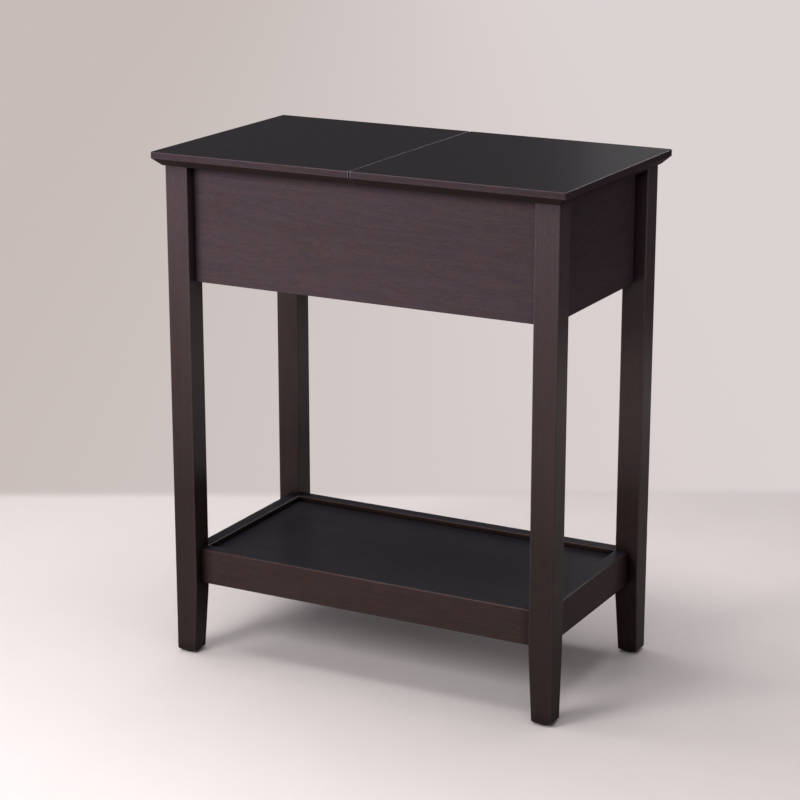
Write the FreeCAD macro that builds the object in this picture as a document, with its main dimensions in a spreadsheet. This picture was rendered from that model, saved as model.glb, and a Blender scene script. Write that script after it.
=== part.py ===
import FreeCAD, Part
import math
import os
import re
import Sketcher

# End table with a storage box under a split top. The left half of the top is fixed. The right half is
# a lid that folds over onto it, on two concealed barrel hinges in the seam.
# Origin: on the floor, at the middle of the footprint. +X runs along the long side, the front is -Y
# and +Z is up.

VECTOR = FreeCAD.Vector
UPRIGHT = FreeCAD.Rotation()
# Millimetres of slack where an edge is found by the place it lies in.
TOUCH = 0.01

# Driving dimensions in millimetres: alias, value, what it measures.
SIZES = (
    ("table_height", 610, "floor to the top surface"),
    ("frame_length", 494, "over the outer faces of the legs, along the long side"),
    ("frame_width", 272, "over the outer faces of the legs, along the short side"),
    ("top_overhang", 12, "top past the outer faces of the legs"),
    ("top_thickness", 16, "both halves of the top"),
    ("top_bevel_height", 8.5, "bevel under the edge of the top, upwards"),
    ("top_bevel_inset", 9, "bevel under the edge of the top, inwards"),
    ("top_corner_radius", 2.5, "upright corners of the top"),
    ("top_arris_radius", 1, "upper edges of the top"),
    ("seam_gap", 2, "between the two halves of the top"),
    ("seat_gap", 0.3, "between the top and the legs, aprons and centre rail"),
    ("leg_size", 29, "square of a leg"),
    ("leg_arris_radius", 1.5, "upright edges of a leg"),
    ("leg_taper", 4.5, "taken off each inner face of a leg at the foot"),
    ("foot_bevel", 2.5, "bevel round the end of a leg"),
    ("apron_thickness", 13, "apron board, flush with the inner faces of the legs"),
    ("apron_height", 136.7, "apron board"),
    ("apron_arris_radius", 1, "long edges of an apron"),
    ("rail_thickness", 16, "shelf rail, flush with the inner faces of the legs"),
    ("rail_bottom", 88, "floor to the lower edge of the shelf rails, where the legs start to taper"),
    ("rail_height", 43, "shelf rail"),
    ("rail_arris_radius", 2, "long edges of a shelf rail"),
    ("shelf_lip", 7, "top of the rails above the shelf panel"),
    ("shelf_thickness", 9, "shelf panel"),
    ("floor_thickness", 6, "compartment floor"),
    ("floor_setback", 14, "underside of the compartment floor above the lower edge of the aprons"),
    ("panel_gap", 0.3, "round the edges of the shelf panel and the compartment floor"),
    ("panel_arris_radius", 0.5, "long edges of a panel"),
    ("cleat_size", 12, "square of a batten under a panel"),
    ("cleat_arris_radius", 1, "long edges of a batten"),
    ("top_cleat_size", 14, "square of a batten that holds the fixed half of the top"),
    ("centre_rail_width", 30, "cross rail under the seam"),
    ("centre_rail_height", 22, "cross rail under the seam"),
    ("dowel_radius", 3, "beech dowel"),
    ("dowel_length", 28, "beech dowel of a leg joint"),
    ("dowel_fit", 0.05, "between a dowel and its hole"),
    ("dowel_end_gap", 1, "past each end of a dowel"),
    ("dowel_stagger", 7.5, "height between the dowels of two boards that meet in one leg"),
    ("apron_dowel_inset", 23, "lowest dowel above the lower edge of the apron"),
    ("apron_dowel_spacing", 80, "between the two dowels of an apron end"),
    ("rail_dowel_inset", 9, "lowest dowel above the lower edge of the rail"),
    ("rail_dowel_spacing", 18, "between the two dowels of a rail end"),
    ("centre_dowel_length", 20, "dowel at the end of the centre rail"),
    ("centre_dowel_depth", 8, "length of that dowel in the apron"),
    ("centre_dowel_spacing", 15, "between the two dowels of a centre rail end"),
    ("screw_radius", 1.75, "shank of a pan-head screw"),
    ("screw_length", 24, "screw past its head, point included"),
    ("screw_tip", 3, "point of the screw"),
    ("screw_head_radius", 3.5, "pan head, at its seat"),
    ("screw_crown_radius", 2.4, "pan head, at its crown"),
    ("screw_head_height", 2.2, "pan head"),
    ("screw_fit", 0.05, "between a screw and its hole"),
    ("screw_end_inset", 30, "first screw from the end of its batten"),
    ("bumper_radius", 4, "soft pad under the lid"),
    ("bumper_height", 2, "soft pad under the lid"),
    ("bumper_fit", 0.05, "between a pad and its hole"),
    ("bumper_seam_inset", 8, "pad on the centre rail, from the middle of the seam"),
    ("bumper_end_inset", 25, "pad on the centre rail, from the end of the rail"),
    ("glide_radius", 9, "plastic foot glide"),
    ("glide_height", 2, "plastic foot glide"),
    ("glide_bevel", 0.8, "bevel round the glide"),
    ("nail_radius", 1.2, "nail of the glide"),
    ("nail_length", 14, "nail of the glide, point included"),
    ("nail_tip", 3, "point of the nail"),
    ("nail_fit", 0.05, "between the nail and its hole"),
    ("hinge_inset", 58, "hinge from the end of the seam"),
    ("hinge_axis_lift", 0.4, "turning axis of the lid above the top surface"),
    ("barrel_radius", 6, "hinge barrel"),
    ("barrel_length", 20, "hinge barrel"),
    ("barrel_depth", 7.6, "middle of the barrel below the top surface"),
    ("barrel_fit", 0.05, "between a barrel and its hole"),
    ("barrel_end_gap", 0.5, "behind the barrel"),
    ("slot_width", 4.2, "slot for the links in a barrel"),
    ("slot_depth", 15, "slot for the links in a barrel"),
    ("pin_radius", 0.6, "hinge pin"),
    ("pin_length", 7.4, "hinge pin"),
    ("pin_fit", 0.05, "between a pin and its holes"),
    ("pin_setback", 2.5, "hinge pin from the middle of the seam"),
    ("pin_drop", 4, "hinge pin below the turning axis of the lid"),
    ("link_reach", 7.9, "between the two eyes of a link"),
    ("link_bow", 1.2, "curve of a link off the straight line between its eyes"),
    ("link_width", 2.6, "link plate"),
    ("link_thickness", 1, "link plate"),
    ("link_play", 0.1, "between neighbouring link plates"),
    ("rivet_radius", 0.9, "rivet head on an outer link plate"),
    ("rivet_height", 0.3, "rivet head on an outer link plate"),
)

# Sizes that follow from the driving dimensions: alias, formula.
DERIVED_SIZES = (
    ("top_underside", "table_height - top_thickness"),
    ("frame_top", "top_underside - seat_gap"),
    ("top_band_bottom", "top_underside + top_bevel_height"),
    ("top_length", "frame_length + 2 * top_overhang"),
    ("top_width", "frame_width + 2 * top_overhang"),
    ("top_foot_length", "top_length - 2 * top_bevel_inset"),
    ("top_foot_width", "top_width - 2 * top_bevel_inset"),
    ("inner_length", "frame_length - 2 * leg_size"),
    ("inner_width", "frame_width - 2 * leg_size"),
    ("apron_bottom", "frame_top - apron_height"),
    ("apron_middle", "leg_size - apron_thickness / 2"),
    ("rail_middle", "leg_size - rail_thickness / 2"),
    ("panel_length", "inner_length - 2 * panel_gap"),
    ("panel_width", "inner_width - 2 * panel_gap"),
    ("floor_underside", "apron_bottom + floor_setback"),
    ("shelf_underside", "rail_bottom + rail_height - shelf_lip - shelf_thickness"),
    ("side_cleat_length", "inner_width - 2 * cleat_size"),
    ("top_cleat_length", "(inner_length - centre_rail_width) / 2"),
    ("top_cleat_middle", "(centre_rail_width + top_cleat_length) / 2"),
    ("top_cleat_reach", "(inner_width - top_cleat_size) / 2"),
    ("top_cleat_bottom", "top_underside - top_cleat_size"),
    ("foot_size", "leg_size - leg_taper"),
    ("foot_end_size", "foot_size - 2 * foot_bevel"),
    ("hinge_spacing", "top_width - 2 * hinge_inset"),
    ("hinge_axis_height", "table_height + hinge_axis_lift"),
    ("barrel_height", "table_height - barrel_depth"),
    ("pin_height", "hinge_axis_height - pin_drop"),
    ("link_bend_radius", "(link_reach ^ 2 / 4 + link_bow ^ 2) / (2 * link_bow)"),
    ("link_drop", "pin_drop + sqrt(link_reach ^ 2 - pin_setback ^ 2)"),
)

# Sides and corners run anticlockwise from the front, seen from above, in quarter turns.
SIDES = (("front", 0, -1), ("right", 1, 0), ("back", 0, 1), ("left", -1, 0))
CORNERS = (("front_left", -1, -1), ("front_right", 1, -1), ("back_right", 1, 1), ("back_left", -1, 1))
SCREWS_PER_CLEAT = 3


# ---- document and sheet

def fill_sheet(doc):
    """Puts every size on the sheet, one row each, with its alias."""
    sheet = doc.addObject("Spreadsheet::Sheet", "Sizes")
    rows = [(alias, str(value), meaning) for alias, value, meaning in SIZES]
    rows += [(alias, "=" + formula, "worked out") for alias, formula in DERIVED_SIZES]
    for row, (alias, content, meaning) in enumerate(rows, start=1):
        sheet.set(f"A{row}", meaning)
        sheet.set(f"B{row}", content)
        sheet.setAlias(f"B{row}", alias)
    doc.recompute()
    return sheet


document = FreeCAD.newDocument("LiftTopEndTable")
sizes = fill_sheet(document)
ALIASES = {row[0] for row in SIZES + DERIVED_SIZES}


def number(alias):
    """A size as a plain number, for the starting shape of a sketch."""
    return float(sizes.get(alias))


def cell(word):
    """The name that a formula outside the sheet uses for one of its aliases."""
    return "Sizes." + word if word in ALIASES else word


def tie(item, path, formula):
    """Binds a property to a formula written with the sheet's aliases."""
    item.setExpression(path, re.sub("[a-z_]+", lambda found: cell(found.group()), formula))


def put(item, position, rotation=UPRIGHT):
    """Places an object at a position given as three formulas."""
    item.Placement = FreeCAD.Placement(VECTOR(), rotation)
    for axis, formula in zip("xyz", position):
        tie(item, "Placement.Base." + axis, formula)


def quarter_turns(count):
    return FreeCAD.Rotation(VECTOR(0, 0, 1), 90 * count)


def towards(x, y, z):
    """The turn that takes +Z to a direction."""
    return FreeCAD.Rotation(VECTOR(0, 0, 1), VECTOR(x, y, z))


# ---- bodies, sketches and features

def new_body(label):
    return document.addObject("PartDesign::Body", label)


def origin_feature(body, role):
    return next(item for item in body.Origin.OriginFeatures if item.Role == role)


def finish(body, feature):
    """Makes a new feature the body's result."""
    body.Tip = feature
    document.recompute()


def new_sketch(body, plane, offset=("0", "0", "0")):
    """A sketch on one of the body's own planes, moved by three formulas along the sketch's axes."""
    sketch = body.newObject("Sketcher::SketchObject", body.Label + "_sketch")
    sketch.AttachmentSupport = [(origin_feature(body, plane), "")]
    sketch.MapMode = "FlatFace"
    for axis, formula in zip("xyz", offset):
        tie(sketch, "AttachmentOffset.Base." + axis, formula)
    return sketch


def constrain(sketch, name, formula, *terms):
    """Adds a dimension to a sketch and binds it to a formula."""
    index = sketch.addConstraint(Sketcher.Constraint(*terms))
    sketch.renameConstraint(index, name)
    tie(sketch, "Constraints." + name, formula)


def line(start, end):
    return Part.LineSegment(VECTOR(*start, 0), VECTOR(*end, 0))


def arc(centre, radius, start, end):
    """An arc that runs anticlockwise between two angles in radians."""
    return Part.ArcOfCircle(Part.Circle(VECTOR(*centre, 0), VECTOR(0, 0, 1), radius), start, end)


def draw_rounded_rectangle(sketch, length, width, radius):
    """A rectangle about the sketch's origin with round corners, from three aliases."""
    half_length = number(length) / 2
    half_width = number(width) / 2
    corner = number(radius)
    x = half_length - corner
    y = half_width - corner
    quarter = math.pi / 2
    centres = ((x, -y), (x, y), (-x, y), (-x, -y))
    sides = [line((-x, -half_width), (x, -half_width)), line((half_length, -y), (half_length, y)),
             line((x, half_width), (-x, half_width)), line((-half_length, y), (-half_length, -y))]
    arcs = [arc(centre, corner, (turn - 1) * quarter, turn * quarter) for turn, centre in enumerate(centres)]
    sketch.addGeometry(sides + arcs, False)
    for side in range(4):
        corner_arc = side + 4
        sketch.addConstraint(Sketcher.Constraint("Tangent", side, 2, corner_arc, 1))
        sketch.addConstraint(Sketcher.Constraint("Tangent", corner_arc, 2, (side + 1) % 4, 1))
        sketch.addConstraint(Sketcher.Constraint("Vertical" if side % 2 else "Horizontal", side))
    for corner_arc in (5, 6, 7):
        sketch.addConstraint(Sketcher.Constraint("Equal", 4, corner_arc))
    sketch.addConstraint(Sketcher.Constraint("Symmetric", 4, 3, 6, 3, -1, 1))
    constrain(sketch, "radius", radius, "Radius", 4, corner)
    constrain(sketch, "length", length, "DistanceX", 3, 1, 1, 1, 2 * half_length)
    constrain(sketch, "width", width, "DistanceY", 0, 1, 2, 1, 2 * half_width)


def pad(body, sketch, length, side_type="One side"):
    feature = body.newObject("PartDesign::Pad", body.Label + "_pad")
    feature.Profile = sketch
    feature.SideType = side_type
    tie(feature, "Length", length)
    finish(body, feature)


def loft(body, start, end):
    feature = body.newObject("PartDesign::AdditiveLoft", body.Label + "_loft")
    feature.Profile = start
    feature.Sections = [end]
    feature.Ruled = True
    finish(body, feature)


def fillet(body, radius, wanted):
    """Rounds the edges whose bounding box passes a test."""
    base = body.Tip
    edges = [f"Edge{index}" for index, edge in enumerate(base.Shape.Edges, start=1) if wanted(edge.BoundBox)]
    feature = body.newObject("PartDesign::Fillet", body.Label + "_fillet")
    feature.Base = (base, edges)
    tie(feature, "Radius", radius)
    finish(body, feature)


def add_cylinder(body, radius, height, position, direction=(0, 0, 1)):
    feature = body.newObject("PartDesign::AdditiveCylinder", body.Label + "_cylinder")
    tie(feature, "Radius", radius)
    tie(feature, "Height", height)
    put(feature, position, towards(*direction))
    finish(body, feature)


def add_cone(body, start_radius, end_radius, height, position):
    feature = body.newObject("PartDesign::AdditiveCone", body.Label + "_cone")
    tie(feature, "Radius1", start_radius)
    tie(feature, "Radius2", end_radius)
    tie(feature, "Height", height)
    put(feature, position)
    finish(body, feature)


def drill(body, radius, depth, mouth, direction):
    """A round hole that starts at a point and runs in a direction."""
    volume = body.Shape.Volume
    feature = body.newObject("PartDesign::SubtractiveCylinder", body.Label + "_hole")
    tie(feature, "Radius", radius)
    tie(feature, "Height", depth)
    put(feature, mouth, towards(*direction))
    finish(body, feature)
    if body.Shape.Volume >= volume:
        raise RuntimeError(body.Label + ": a hole misses the material")


def cut_box(body, length, width, height, corner):
    """A box-shaped cut, from its lowest corner."""
    feature = body.newObject("PartDesign::SubtractiveBox", body.Label + "_cut")
    tie(feature, "Length", length)
    tie(feature, "Width", width)
    tie(feature, "Height", height)
    put(feature, corner)
    finish(body, feature)


def mirror(body, plane):
    """Doubles the whole body across one of its own planes."""
    feature = body.newObject("PartDesign::Mirrored", body.Label + "_mirror")
    feature.TransformMode = "Whole shape"
    feature.MirrorPlane = (origin_feature(body, plane), [""])
    finish(body, feature)


def half_turn_copy(body):
    """Doubles the whole body by half a turn about the table's upright middle line."""
    feature = body.newObject("PartDesign::PolarPattern", body.Label + "_copy")
    feature.TransformMode = "Whole shape"
    feature.Axis = (origin_feature(body, "Z_Axis"), [""])
    feature.Occurrences = 2
    finish(body, feature)


def repeat_along_x(body, length, count):
    feature = body.newObject("PartDesign::LinearPattern", body.Label + "_row")
    feature.TransformMode = "Whole shape"
    feature.Direction = (origin_feature(body, "X_Axis"), [""])
    feature.Occurrences = count
    tie(feature, "Length", length)
    finish(body, feature)


# ---- boards of the frame

def board(label, length, width, height, arris, position, turns=0):
    """A straight board along the body's X with rounded long edges, centred on its position."""
    body = new_body(label)
    section = new_sketch(body, "YZ_Plane")
    draw_rounded_rectangle(section, width, height, arris)
    pad(body, section, length, "Symmetric")
    put(body, position, quarter_turns(turns))
    return body


def beside(side, inset, height):
    """A point in the middle of one side, at a distance inside the legs' outer faces."""
    _, sign_x, sign_y = SIDES[side]
    x = f"{sign_x} * (frame_length / 2 - ({inset}))"
    y = f"{sign_y} * (frame_width / 2 - ({inset}))"
    return x, y, height


def drill_board_ends(body, kind, length, height):
    """Dowel holes in both ends. Those at +X are higher, to miss the dowels of the next board in the leg."""
    for sign, shift in ((-1, "0"), (1, "dowel_stagger")):
        for level in (0, 1):
            rise = f"{kind}_dowel_inset + {level} * {kind}_dowel_spacing + {shift} - {height} / 2"
            mouth = (f"{sign} * {length} / 2", "0", rise)
            drill(body, "dowel_radius + dowel_fit", "dowel_length / 2 + dowel_end_gap", mouth, (-sign, 0, 0))


def make_apron(side):
    length = "inner_width" if side % 2 else "inner_length"
    middle = beside(side, "apron_middle", "apron_bottom + apron_height / 2")
    body = board("apron_" + SIDES[side][0], length, "apron_thickness", "apron_height",
                 "apron_arris_radius", middle, side)
    drill_board_ends(body, "apron", length, "apron_height")
    if side % 2 == 0:
        for sign in (-1, 1):
            mouth = (f"{sign} * centre_dowel_spacing / 2", "apron_thickness / 2",
                     "(apron_height - centre_rail_height) / 2")
            drill(body, "dowel_radius + dowel_fit", "centre_dowel_depth + dowel_fit", mouth, (0, -1, 0))
    return body


def make_shelf_rail(side):
    length = "inner_width" if side % 2 else "inner_length"
    middle = beside(side, "rail_middle", "rail_bottom + rail_height / 2")
    body = board("shelf_rail_" + SIDES[side][0], length, "rail_thickness", "rail_height",
                 "rail_arris_radius", middle, side)
    drill_board_ends(body, "rail", length, "rail_height")
    return body


def make_cleat(kind, side):
    """A batten inside one side, under a panel. Those of the short sides fit between the other two."""
    length = "side_cleat_length" if side % 2 else "inner_length"
    middle = beside(side, "leg_size + cleat_size / 2", f"{kind}_underside - cleat_size / 2")
    return board(f"{kind}_cleat_{SIDES[side][0]}", length, "cleat_size", "cleat_size",
                 "cleat_arris_radius", middle, side)


def make_centre_rail():
    """The cross rail under the seam, with its dowel holes and the seats of two bumpers."""
    body = board("centre_rail", "inner_width", "centre_rail_width", "centre_rail_height",
                 "cleat_arris_radius", ("0", "0", "frame_top - centre_rail_height / 2"), 1)
    for end in (-1, 1):
        for sign in (-1, 1):
            mouth = (f"{end} * inner_width / 2", f"{sign} * centre_dowel_spacing / 2", "0")
            depth = "centre_dowel_length - centre_dowel_depth + dowel_end_gap"
            drill(body, "dowel_radius + dowel_fit", depth, mouth, (-end, 0, 0))
        seat = (f"{end} * (inner_width / 2 - bumper_end_inset)", "-1 * bumper_seam_inset",
                "centre_rail_height / 2")
        drill(body, "bumper_radius + bumper_fit", "bumper_height - seat_gap", seat, (0, 0, -1))
    return body


def make_panel(label, kind):
    """A loose panel that lies on its four battens, between the boards."""
    return board(label, "panel_length", "panel_width", f"{kind}_thickness", "panel_arris_radius",
                 ("0", "0", f"{kind}_underside + {kind}_thickness / 2"))


# ---- legs

def leg_section(body, size, height, setback):
    """The rounded square of a leg at one height, moved towards its two outer faces."""
    section = new_sketch(body, "XY_Plane", (f"-1 * {setback}", f"-1 * {setback}", height))
    draw_rounded_rectangle(section, size, size, "leg_arris_radius")
    return section


def drill_leg(body, kind):
    """Dowel holes for the two boards that meet in a leg. The one on the +Y face sits higher."""
    across = f"{kind}_middle - leg_size / 2"
    radius = "dowel_radius + dowel_fit"
    depth = "dowel_length / 2 + dowel_end_gap"
    for level in (0, 1):
        height = f"{kind}_bottom + {kind}_dowel_inset + {level} * {kind}_dowel_spacing"
        drill(body, radius, depth, ("leg_size / 2", across, height), (-1, 0, 0))
        drill(body, radius, depth, (across, "leg_size / 2", height + " + dowel_stagger"), (0, -1, 0))


def make_leg(corner):
    """Outer faces at -X and -Y of the body. The other two taper from the shelf rails to the foot."""
    name, sign_x, sign_y = CORNERS[corner]
    body = new_body("leg_" + name)
    foot_top = "glide_height + foot_bevel"
    loft(body, leg_section(body, "foot_end_size", "glide_height", "leg_taper / 2"),
         leg_section(body, "foot_size", foot_top, "leg_taper / 2"))
    loft(body, leg_section(body, "foot_size", foot_top, "leg_taper / 2"),
         leg_section(body, "leg_size", "rail_bottom", "0"))
    pad(body, leg_section(body, "leg_size", "rail_bottom", "0"), "frame_top - rail_bottom")
    drill_leg(body, "apron")
    drill_leg(body, "rail")
    drill(body, "nail_radius + nail_fit", "nail_length + nail_fit",
          ("-1 * leg_taper / 2", "-1 * leg_taper / 2", "glide_height"), (0, 0, 1))
    if sign_x > 0:
        drill(body, "bumper_radius + bumper_fit", "bumper_height - seat_gap",
              ("0", "0", "frame_top"), (0, 0, -1))
    put(body, (f"{sign_x} * (frame_length - leg_size) / 2", f"{sign_y} * (frame_width - leg_size) / 2", "0"),
        quarter_turns(corner))
    return body


# ---- top

def screw_step(index):
    """Place of a screw along its batten, from the batten's middle."""
    share = 2 * index / (SCREWS_PER_CLEAT - 1) - 1
    return f"{share} * (top_cleat_length / 2 - screw_end_inset)"


def make_top_cleat(side):
    sign = SIDES[side][2]
    middle = ("-1 * top_cleat_middle", f"{sign} * top_cleat_reach", "top_underside - top_cleat_size / 2")
    body = board("top_cleat_" + SIDES[side][0], "top_cleat_length", "top_cleat_size", "top_cleat_size",
                 "cleat_arris_radius", middle)
    for index in range(SCREWS_PER_CLEAT):
        mouth = (screw_step(index), "0", "-1 * top_cleat_size / 2")
        drill(body, "screw_radius + screw_fit", "top_cleat_size", mouth, (0, 0, 1))
    return body


def top_section(body, length, width, height):
    """The outline of the whole top at one height."""
    section = new_sketch(body, "XY_Plane", ("0", "0", height))
    draw_rounded_rectangle(section, length, width, "top_corner_radius")
    return section


def make_top_half(label, turns):
    """The whole top, a square band over a bevel, cut at the seam. The half at +X of the body stays."""
    body = new_body(label)
    loft(body, top_section(body, "top_foot_length", "top_foot_width", "top_underside"),
         top_section(body, "top_length", "top_width", "top_band_bottom"))
    band = top_section(body, "top_length", "top_width", "top_band_bottom")
    pad(body, band, "table_height - top_band_bottom")
    cut_box(body, "top_length", "2 * top_width", "2 * top_thickness",
            ("seam_gap / 2 - top_length", "-1 * top_width", "top_underside - top_thickness / 2"))
    below_surface = number("table_height") - TOUCH
    fillet(body, "top_arris_radius", lambda box: box.ZMin > below_surface)
    for sign in (-1, 1):
        mouth = ("seam_gap / 2", f"{sign} * hinge_spacing / 2", "barrel_height")
        drill(body, "barrel_radius + barrel_fit", "barrel_length + barrel_end_gap", mouth, (1, 0, 0))
    put(body, ("0", "0", "0"), quarter_turns(turns))
    return body


def make_top_fixed_panel():
    body = make_top_half("top_fixed_panel", 2)
    for sign in (-1, 1):
        for index in range(SCREWS_PER_CLEAT):
            mouth = (f"top_cleat_middle + {screw_step(index)}", f"{sign} * top_cleat_reach", "top_underside")
            drill(body, "screw_radius + screw_fit", "screw_length - top_cleat_size + screw_fit",
                  mouth, (0, 0, 1))
    return body


# ---- barrel hinges

def make_hinge_barrels(label, turns):
    """Two barrels let into the seam edge at -X, each with a slot for the links and a hole for the pin."""
    body = new_body(label)
    near_hinge = "-1 * hinge_spacing / 2"
    mouth = "-1 * seam_gap / 2"
    add_cylinder(body, "barrel_radius", "barrel_length", (mouth, near_hinge, "barrel_height"), (-1, 0, 0))
    cut_box(body, "slot_depth", "slot_width", "2 * barrel_radius",
            (f"{mouth} - slot_depth", f"{near_hinge} - slot_width / 2", "barrel_height - barrel_radius"))
    drill(body, "pin_radius + pin_fit", "2 * barrel_radius",
          ("-1 * pin_setback", f"{near_hinge} - barrel_radius", "pin_height"), (0, 1, 0))
    mirror(body, "XZ_Plane")
    put(body, ("0", "0", "0"), quarter_turns(turns))
    return body


def make_hinge_pins(label, turns):
    body = new_body(label)
    add_cylinder(body, "pin_radius", "pin_length",
                 ("-1 * pin_setback", "-1 * (hinge_spacing + pin_length) / 2", "pin_height"), (0, 1, 0))
    mirror(body, "XZ_Plane")
    put(body, ("0", "0", "0"), quarter_turns(turns))
    return body


def draw_link(sketch):
    """A curved bar with round ends, from the pin at the left down to the eye in the middle of the seam."""
    half_width = number("link_width") / 2
    bend = number("link_bend_radius")
    pin = VECTOR(-number("pin_setback"), -number("pin_drop"), 0)
    eye = VECTOR(0, -number("link_drop"), 0)
    chord = eye - pin
    middle = pin + chord * 0.5
    to_centre = VECTOR(-chord.y, chord.x, 0).normalize()
    centre = middle + to_centre * (bend - number("link_bow"))
    pin_angle = math.atan2(pin.y - centre.y, pin.x - centre.x) % (2 * math.pi)
    eye_angle = math.atan2(eye.y - centre.y, eye.x - centre.x) % (2 * math.pi)
    sketch.addGeometry([
        arc((centre.x, centre.y), bend - half_width, pin_angle, eye_angle),
        arc((centre.x, centre.y), bend + half_width, pin_angle, eye_angle),
        arc((pin.x, pin.y), half_width, pin_angle - math.pi, pin_angle),
        arc((eye.x, eye.y), half_width, eye_angle, eye_angle + math.pi),
    ], False)
    sketch.addConstraint(Sketcher.Constraint("Tangent", 2, 1, 0, 1))
    sketch.addConstraint(Sketcher.Constraint("Tangent", 2, 2, 1, 1))
    sketch.addConstraint(Sketcher.Constraint("Tangent", 3, 1, 1, 2))
    sketch.addConstraint(Sketcher.Constraint("Tangent", 3, 2, 0, 2))
    sketch.addConstraint(Sketcher.Constraint("Coincident", 0, 3, 1, 3))
    sketch.addConstraint(Sketcher.Constraint("PointOnObject", 3, 3, -2))
    constrain(sketch, "setback", "pin_setback", "DistanceX", 2, 3, -1, 1, -pin.x)
    constrain(sketch, "drop", "pin_drop", "DistanceY", 2, 3, -1, 1, -pin.y)
    constrain(sketch, "reach", "link_reach", "Distance", 2, 3, 3, 3, chord.Length)
    constrain(sketch, "half_width", "link_width / 2", "Radius", 2, half_width)
    constrain(sketch, "bend", "link_bend_radius - link_width / 2", "Radius", 0, bend - half_width)


def make_hinge_links(label, plates, turns):
    """Link plates of both hinges, at the heights of the turning axis. Each plate is named by its +Y face."""
    body = new_body(label)
    for outer_face in plates:
        plate = new_sketch(body, "XZ_Plane", ("0", "0", f"hinge_spacing / 2 - ({outer_face})"))
        draw_link(plate)
        pad(body, plate, "link_thickness")
    return body


def make_outer_links():
    """Two plates in each fixed barrel, outside the middle one, with rivet heads over the far eye."""
    near_face = "link_thickness / 2 + link_play"
    far_face = "3 * link_thickness / 2 + link_play"
    body = make_hinge_links("hinge_links_fixed", (far_face, f"-1 * ({near_face})"), 0)
    for sign in (-1, 1):
        seat = ("0", f"-1 * hinge_spacing / 2 + {sign} * ({far_face})", "-1 * link_drop")
        add_cylinder(body, "rivet_radius", "rivet_height", seat, (0, sign, 0))
    return body


def make_inner_links():
    """One plate in each lid barrel, between the two outer ones."""
    return make_hinge_links("hinge_links_lid", ("link_thickness / 2",), 2)


def complete_links(body, turns):
    """Bores the pin eyes, adds the second hinge and hangs the links on the lid's turning axis."""
    drill(body, "pin_radius + pin_fit", "slot_width",
          ("-1 * pin_setback", "-1 * (hinge_spacing + slot_width) / 2", "-1 * pin_drop"), (0, 1, 0))
    mirror(body, "XZ_Plane")
    put(body, ("0", "0", "hinge_axis_height"), quarter_turns(turns))
    return body


# ---- dowels, screws, pads and glides

def make_leg_dowels(kind):
    """The dowels of the front and right boards, and their copies at the back and left."""
    body = new_body(kind + "_dowels")
    for level in (0, 1):
        for sign, shift in ((-1, "0"), (1, "dowel_stagger")):
            height = f"{kind}_bottom + {kind}_dowel_inset + {level} * {kind}_dowel_spacing + {shift}"
            add_cylinder(body, "dowel_radius", "dowel_length",
                         (f"{sign} * inner_length / 2 - dowel_length / 2",
                          f"{kind}_middle - frame_width / 2", height), (1, 0, 0))
            add_cylinder(body, "dowel_radius", "dowel_length",
                         (f"frame_length / 2 - {kind}_middle",
                          f"{sign} * inner_width / 2 - dowel_length / 2", height), (0, 1, 0))
    half_turn_copy(body)
    return body


def make_centre_rail_dowels():
    body = new_body("centre_rail_dowels")
    for sign in (-1, 1):
        add_cylinder(body, "dowel_radius", "centre_dowel_length",
                     (f"{sign} * centre_dowel_spacing / 2", "-1 * (inner_width / 2 + centre_dowel_depth)",
                      "frame_top - centre_rail_height / 2"), (0, 1, 0))
    mirror(body, "XZ_Plane")
    return body


def make_top_screws():
    """Pan-head screws, driven up through the top cleats into the fixed half of the top."""
    body = new_body("top_screws")
    x = "-1 * top_cleat_middle - (top_cleat_length / 2 - screw_end_inset)"
    y = "-1 * top_cleat_reach"
    add_cone(body, "screw_crown_radius", "screw_head_radius", "screw_head_height",
             (x, y, "top_cleat_bottom - screw_head_height"))
    add_cylinder(body, "screw_radius", "screw_length - screw_tip", (x, y, "top_cleat_bottom"))
    add_cone(body, "screw_radius", "0", "screw_tip", (x, y, "top_cleat_bottom + screw_length - screw_tip"))
    repeat_along_x(body, "top_cleat_length - 2 * screw_end_inset", SCREWS_PER_CLEAT)
    mirror(body, "XZ_Plane")
    return body


def make_lid_bumpers():
    """Soft pads that the shut lid lies on: two on the right legs and two on the centre rail."""
    body = new_body("lid_bumpers")
    places = (("(frame_length - leg_size) / 2", "(frame_width - leg_size) / 2"),
              ("bumper_seam_inset", "inner_width / 2 - bumper_end_inset"))
    for x, y in places:
        add_cylinder(body, "bumper_radius", "bumper_height", (x, y, "top_underside - bumper_height"))
    mirror(body, "XZ_Plane")
    return body


def make_foot_glides():
    """Plastic discs with a nail, one in the middle of each tapered foot."""
    body = new_body("foot_glides")
    x = "(frame_length - leg_size + leg_taper) / 2"
    y = "(frame_width - leg_size + leg_taper) / 2"
    add_cone(body, "glide_radius - glide_bevel", "glide_radius", "glide_bevel", (x, y, "0"))
    add_cylinder(body, "glide_radius", "glide_height - glide_bevel", (x, y, "glide_bevel"))
    add_cylinder(body, "nail_radius", "nail_length - nail_tip", (x, y, "glide_height"))
    add_cone(body, "nail_radius", "0", "nail_tip", (x, y, "glide_height + nail_length - nail_tip"))
    mirror(body, "XZ_Plane")
    mirror(body, "YZ_Plane")
    return body


# ---- assembly

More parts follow.
